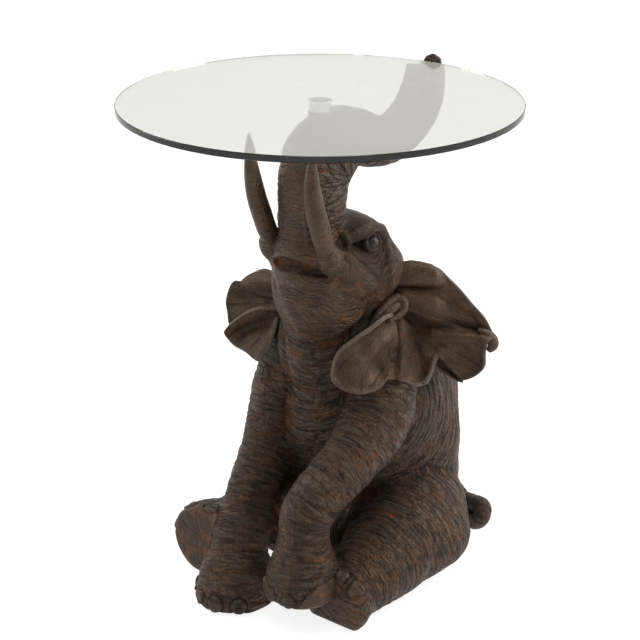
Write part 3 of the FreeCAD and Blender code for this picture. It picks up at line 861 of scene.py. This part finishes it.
LEFT_VEINS = [
    ([(-9, -56), (-19, -64), (-29, -74), (-38, -91), (-44, -108), (-46, -121)], 0.9, 1.5),
    ([(-13, -64), (-12, -81), (-16, -94), (-25, -107), (-33, -118)], 0.9, 1.5),
    ([(0, -34), (4, -55), (6, -70), (5, -90), (6, -106)], 1.0, 1.7),
    ([(30, -80), (33, -92), (40, -100)], 0.8, 1.4),
    ([(52, 1), (66, -7), (82, -13), (95, -20), (113, -42)], 1.3, 2.2),
    ([(75, -71), (100, -83), (112, -91)], 0.8, 1.5),
    ([(-73, -95), (-65, -83), (-54, -74)], 0.8, 1.5)]
POCKET_RIM = [(87, -111, -41), (81, -111, -50), (74, -108, -57), (66, -103, -61),
              (58, -99, -61), (51, -94, -57), (46, -92, -50), (42, -102, -30)]
POCKET_ROOT = [(85, -104, -41), (80, -90, -44), (74, -76, -46), (67, -66, -46),
               (60, -66, -41), (53, -76, -31), (47, -88, -20)]
# the pocket petal behind the arch is darkened with painted shade
ear("cast_ear_left", "ear_left", EarPlane((78, 66, 388), (0.516, -0.773, 0.369)),
    [petal(LEFT_RIM, LEFT_ROOT, LEFT_WAVES, LEFT_VEINS, left_roll, rows=56),
     petal(POCKET_RIM, POCKET_ROOT, rows=16, cup=-6, stain_and_shade=0.75)])

LEFT_PLANE = EarPlane((78, 66, 388), (0.516, -0.773, 0.369))
# the last number of each roll lightens it: rubbed wear with a painted highlight, strongest on the
# lip
LEFT_ROLLS = {
    "tip": ([(104, -42, -14, 3.5), (115, -47, -12, 6.0), (122, -54, -10, 7.5), (123, -62, -11, 7.2),
             (118, -69, -14, 4.0)], 0.2),
    "lip": ([(34, -113, 2, 2), (38, -110, 0, 2.8), (43, -100, -7, 3.0), (49, -83, -17, 3.0),
             (56, -69, -29, 3.0), (64, -63, -37, 3.0), (71, -67, -41, 3.0), (77, -82, -41, 3.0),
             (83, -98, -39, 2.8), (88, -108, -36, 1.5)], 0.9),
    "root": ([(-38, -44, 22, 2.5), (-28, -27, 16, 4.5), (-16, -12, 9, 6), (-5, -3, 3, 6.5),
              (5, -5, 2, 6), (8, -14, 4, 5), (3, -23, 7, 4.5), (-9, -31, 13, 3.5),
              (-24, -41, 20, 2.5)], 0.25),
    "fold": ([(-36, -42, 21, 2.5), (-24, -32, 15, 5), (-12, -20, 9, 7), (-2, -13, 3, 7),
              (6, -12, 1, 4)], 0.1)}
for roll_name, (rows_, rub_and_highlight_) in LEFT_ROLLS.items():
    spots = LEFT_PLANE.place(np.array(rows_)[:, :3])
    tube("cast_ear_left_" + roll_name, [tuple(p) + (r[3],) for p, r in zip(spots, rows_)],
         smooth_material, "base", "ear_left", around=24, steps=8, rub_and_highlight=rub_and_highlight_)

RIGHT_PLANE = EarPlane((-75, -5, 350), (0.582, -0.719, 0.380))
RIGHT_ROLL = petal([(9, 27, -8), (-3, 22, -16), (-14, 24, -20), (-23, 28, -24), (-33, 33, -27),
                    (-42, 40, -30), (-35, 48, -31), (-24, 55, -28), (-13, 57, -24),
                    (-3, 54, -18), (9, 47, -12)],
                   [(22, 32, -6), (24, 36, -6), (24, 42, -8), (22, 46, -10)],
                   [([(-30, 42), (20, 38)], 8, 9)], rows=24)
RIGHT_MIDDLE = petal([(8, 38, -14), (-14, 32, -24), (-30, 35, -30), (-41, 40, -33),
                      (-49, 43, -34), (-56, 38, -36), (-61, 26, -37), (-63, 14, -37),
                      (-61, 0, -36), (-59, -15, -34), (-49, -23, -30), (-31, -24, -24),
                      (-10, -19, -16), (7, -10, -8)],
                     [(24, 26, -6), (26, 18, -4), (26, 8, -2), (24, -4, 0)],
                     [([(-40, 24), (0, 20)], -6, 9), ([(-50, 40), (-10, 31)], 3, 4)],
                     [([(-58, 12), (-30, 12)], 0.8, 1.5)], rows=34)
RIGHT_LOBE = petal([(9, 5, 2), (3, 6, 2), (-10, 6, -2), (-22, 5, -6), (-37, 0, -12),
                    (-49, -8, -17), (-59, -16, -22), (-65, -25, -26), (-62, -33, -24),
                    (-53, -43, -18), (-44, -48, -13), (-36, -53, -8), (-28, -60, -2),
                    (-21, -64, 3), (-15, -57, 7), (-8, -47, 10), (-3, -36, 12), (2, -20, 12),
                    (6, -7, 9)],
                   [(14, 4, 0), (15, 0, 0), (14, -4, 2), (12, -8, 4)],
                   [([(-35, -26), (-8, -16)], -9, 14), ([(-62, -27), (-40, -8), (-10, 2)], 3, 5),
                    ([(-18, -60), (-4, -34), (2, -14)], 3, 4)],
                   [([(-58, -26), (-40, -14), (-8, -7)], 0.9, 1.6),
                    ([(-46, -37), (-30, -28), (-12, -22)], 0.9, 1.6),
                    ([(-30, -48), (-18, -36)], 0.7, 1.4)], rows=40)
ear("cast_ear_right", "ear_right", RIGHT_PLANE, [RIGHT_ROLL, RIGHT_MIDDLE, RIGHT_LOBE])


# ---- eyes ---------------------------------------------------------------------------------------
def eye_bead(name, node, sign):
    around, rows, radius = 48, 28, 9.5
    verts, faces = [], []
    for i in range(1, rows):
        polar = math.pi * i / rows
        for k in range(around):
            a = 2 * math.pi * k / around
            verts.append((sign * 66.3 + radius * math.sin(polar) * math.cos(a),
                          19.5 + radius * math.sin(polar) * math.sin(a),
                          472.3 + radius * math.cos(polar)))
    for i in range(rows - 2):
        for k in range(around):
            j = (k + 1) % around
            faces.append((i * around + k, (i + 1) * around + k,
                          (i + 1) * around + j, i * around + j))
    faces.append(tuple(range(around)))
    faces.append(tuple(reversed(range((rows - 2) * around, (rows - 1) * around))))
    item = make_mesh(name, verts, faces, eye_material)
    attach(item, "base")
    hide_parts(node)


eye_material = simple("eye_bead", (0.017, 0.010, 0.007), 0.46, grain=60.0, vary=0.4)
eye_bead("bead_eye_left", "eye_left", 1)
eye_bead("bead_eye_right", "eye_right", -1)


# ---- glass and metal ----------------------------------------------------------------------------
def glass_material():
    """Clear float glass, green through its edge, with a painted pale sheen on its upper face that
    stands in for reflection.
    """
    n = Nodes("glass_float")
    n.put(n.shader, "Base Color", (0.95, 0.94, 0.90, 1))
    n.put(n.shader, "Roughness", 0.0)
    n.put(n.shader, "IOR", 1.5)
    n.put(n.shader, "Transmission Weight", 1.0)
    tint = n.add("VolumeAbsorption", {"Color": (0.25, 0.58, 0.38, 1), "Density": 12.0})
    n.tree.links.new(tint.outputs[0], n.output.inputs["Volume"])
    place = n.add("TexCoord").outputs["Object"]
    ripple = n.add("TexNoise", {"Vector": place, "Scale": 3.0, "Detail": 2.0})
    sheen = n.add("BsdfDiffuse", {"Color": (0.42, 0.415, 0.375, 1)})
    geometry = n.add("NewGeometry")
    up = n.add("SeparateXYZ", {0: geometry.outputs["Normal"]})
    top = n.add("MapRange", {0: up.outputs["Z"], 1: 0.9, 2: 1.0, 3: 0.0, 4: 1.0})
    outer = n.math("SUBTRACT", 1.0, geometry.outputs["Backfacing"])
    # painted sheen: a pale diffuse layer on the upper outer face
    painted_sheen = n.math("MULTIPLY", n.math("MULTIPLY", top, outer),
                  n.add("MapRange", {0: ripple.outputs[0], 3: 0.43, 4: 0.47}))
    body = n.add("MixShader", {0: painted_sheen, 1: n.shader, 2: sheen})
    path = n.add("LightPath")
    clear = n.add("BsdfTransparent", {"Color": (0.95, 0.97, 0.96, 1)})
    mix = n.add("MixShader", {0: path.outputs["Is Shadow Ray"], 1: body, 2: clear})
    n.tree.links.new(mix.outputs[0], n.output.inputs["Surface"])
    return n.material


node_materials = {
    "glass_top": glass_material(),
    "bond_film": simple("adhesive", (0.80, 0.82, 0.80), 0.3),
    "mounting_disc": simple("turned_steel", (0.75, 0.75, 0.73), 0.16, 1.0, grain=900.0),
    "spacer_sleeve": simple("chrome_plate", (0.46, 0.46, 0.44), 0.10, 1.0, grain=500.0),
    "socket_insert": simple("insert_steel", (0.55, 0.55, 0.54), 0.3, 1.0),
    "trunk_rod": simple("rod_steel", (0.45, 0.45, 0.44), 0.4, 1.0),
    "ear_dowel_left": simple("dowel_steel", (0.5, 0.5, 0.49), 0.35, 1.0),
    "nylon_bush": simple("nylon", (0.80, 0.78, 0.72), 0.4),
    "base_plug": simple("rubber_plug", (0.025, 0.025, 0.025), 0.7, depth_mm=0.1),
    "pad_foot": simple("felt", (0.05, 0.038, 0.03), 0.95, grain=1800.0, depth_mm=0.3, vary=0.5)}
node_materials["ear_dowel_right"] = node_materials["ear_dowel_left"]
for pad in ("pad_hip_left", "pad_hip_right", "pad_rump"):
    node_materials[pad] = node_materials["pad_foot"]
for node, material in node_materials.items():
    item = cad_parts[node]
    item.data.materials.clear()
    item.data.materials.append(material)

# ---- floor, light, camera -----------------------------------------------------------------------
floor_nodes = Nodes("floor_paper")
paper = floor_nodes.add("TexNoise", {"Vector": floor_nodes.add("TexCoord").outputs["Object"],
                                     "Scale": 60.0, "Detail": 3.0})
floor_nodes.put(floor_nodes.shader, "Base Color",
                floor_nodes.blend(paper.outputs[0], (0.27, 0.27, 0.27, 1), (0.29, 0.29, 0.29, 1)))
floor_nodes.put(floor_nodes.shader, "Roughness", 0.9)
floor_nodes.put(floor_nodes.shader, "Specular IOR Level", 0.0)
floor_nodes.put(floor_nodes.shader, "Emission Color", (1.0, 1.0, 1.0, 1))
floor_nodes.put(floor_nodes.shader, "Emission Strength", 0.85)
FLOOR_HALF = 30
FLOOR_LEVEL = -0.0005
floor_mesh = bpy.data.meshes.new("floor")
floor_mesh.from_pydata([(x * FLOOR_HALF, y * FLOOR_HALF, FLOOR_LEVEL)
                        for x, y in ((-1, -1), (1, -1), (1, 1), (-1, 1))],
                       [], [(0, 1, 2, 3)])
floor_mesh.materials.append(floor_nodes.material)
floor = bpy.data.objects.new("floor", floor_mesh)
bpy.context.scene.collection.objects.link(floor)

world = bpy.data.worlds.new("studio")
world.use_nodes = True
sky = world.node_tree
direction = sky.nodes.new("ShaderNodeTexCoord")
split = sky.nodes.new("ShaderNodeVectorMath")
split.operation = "DOT_PRODUCT"
sky.links.new(direction.outputs["Generated"], split.inputs[0])
split.inputs[1].default_value = (0.55, -0.80, -0.15)
level = sky.nodes.new("ShaderNodeMapRange")
level.interpolation_type = "SMOOTHSTEP"
for socket, value in ((1, -0.25), (2, 0.75), (3, 1.0), (4, 0.07)):
    level.inputs[socket].default_value = value
sky.links.new(split.outputs["Value"], level.inputs[0])
sky.links.new(level.outputs[0], sky.nodes["Background"].inputs[1])
sky.nodes["Background"].inputs[0].default_value = (1.0, 1.0, 1.0, 1)
bpy.context.scene.world = world


def area_light(name, place, target, wide_m, tall_m, power):
    light = bpy.data.lights.new(name, "AREA")
    light.shape = "RECTANGLE"
    light.size, light.size_y = wide_m, tall_m
    light.energy = power
    item = bpy.data.objects.new(name, light)
    item.location = place
    item.rotation_euler = (Vector(target) - Vector(place)).to_track_quat("-Z", "Y").to_euler()
    bpy.context.scene.collection.objects.link(item)


AIM = (0, 0.03, 0.33)
area_light("key_left", (-1.9, -0.7, 1.5), AIM, 0.9, 1.6, 14.5)
area_light("fill_front", (0.9, -2.3, 1.5), AIM, 1.0, 1.0, 3.0)
area_light("rim_back", (1.7, 1.2, 1.4), AIM, 1.0, 1.4, 33)
area_light("top", (0, 0.1, 2.4), AIM, 1.8, 1.8, 23)

AZIMUTH, DISTANCE, CAMERA_HEIGHT, PITCH = math.radians(37.0), 1.79174, 1.1034, math.radians(22.6314)
camera_data = bpy.data.cameras.new("camera")
camera_data.sensor_width = 36.0
camera_data.lens = 36.0 * 1494.44 / 640
camera = bpy.data.objects.new("camera", camera_data)
camera.location = (DISTANCE * math.sin(AZIMUTH), -DISTANCE * math.cos(AZIMUTH), CAMERA_HEIGHT)
camera.rotation_euler = (math.pi / 2 - PITCH, 0, AZIMUTH)
bpy.context.scene.collection.objects.link(camera)
bpy.context.scene.camera = camera
bpy.context.scene.view_settings.view_transform = "Standard"
